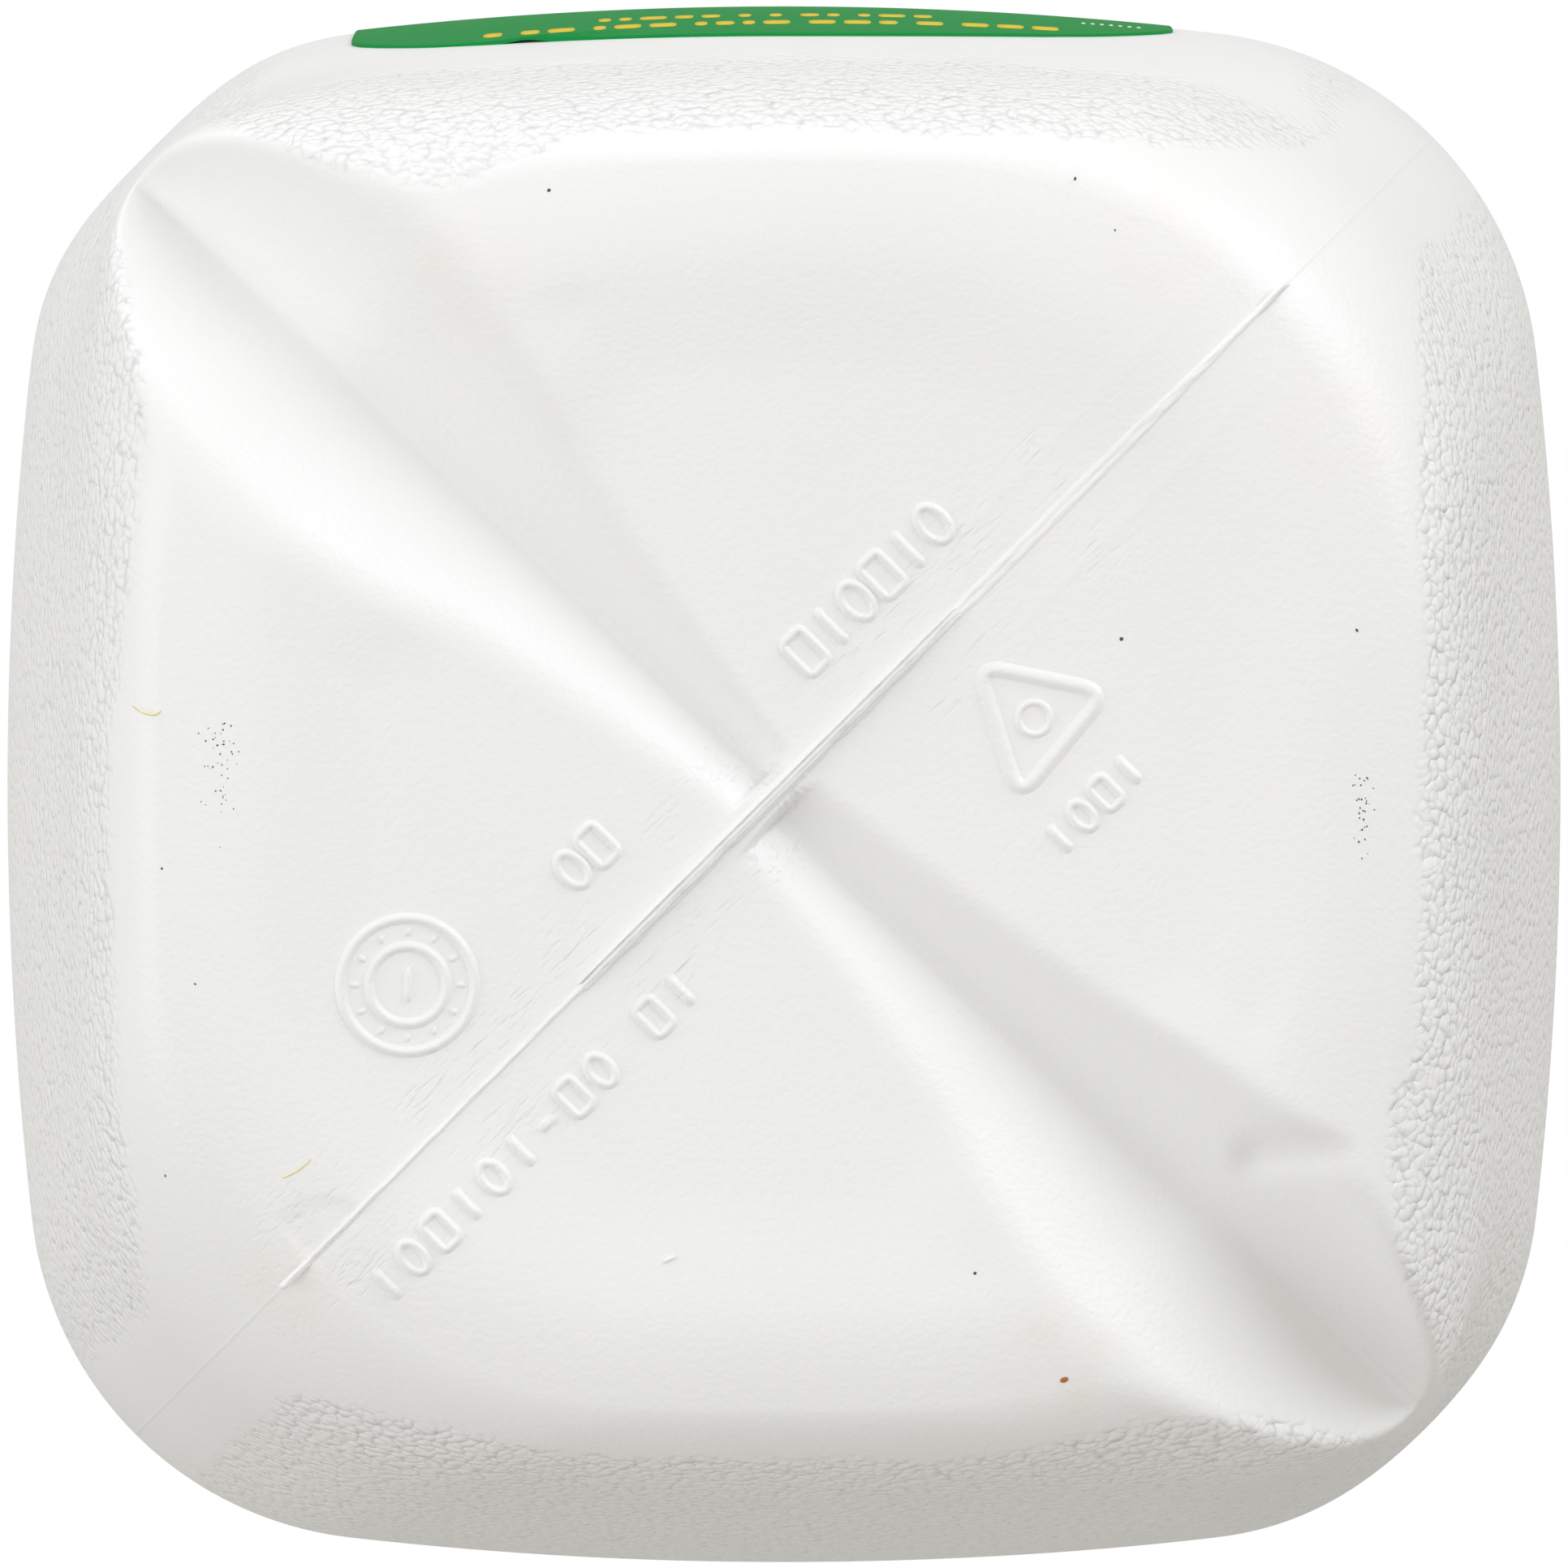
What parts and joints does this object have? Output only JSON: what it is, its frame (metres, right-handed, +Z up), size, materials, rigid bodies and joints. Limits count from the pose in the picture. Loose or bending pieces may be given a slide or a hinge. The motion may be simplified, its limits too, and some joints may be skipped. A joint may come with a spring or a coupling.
{
  "type": "plastic milk jug",
  "caption": "Shut gallon milk jug: opaque white blow-moulded body with a corner handle, channelled base with a torn pinch line, green snap cap and green front label.",
  "frame": {"origin": "centre of the standing ring, on the surface that the jug stands on", "axes": "+Z up through the cap; the label faces -Y; the handle is at the corner between +X and -Y"},
  "size_m": [0.154, 0.1542, 0.2541],
  "materials": {
    "jug": "opaque white HDPE, satin, with moulded leather grain on the walls",
    "label": "printed green film, semi-gloss, yellow and white marks",
    "cap": "green LDPE, satin"
  },
  "bodies": {
    "root": {"jug": "jug", "label": "label", "cap": "cap"}
  },
  "joints": []
}
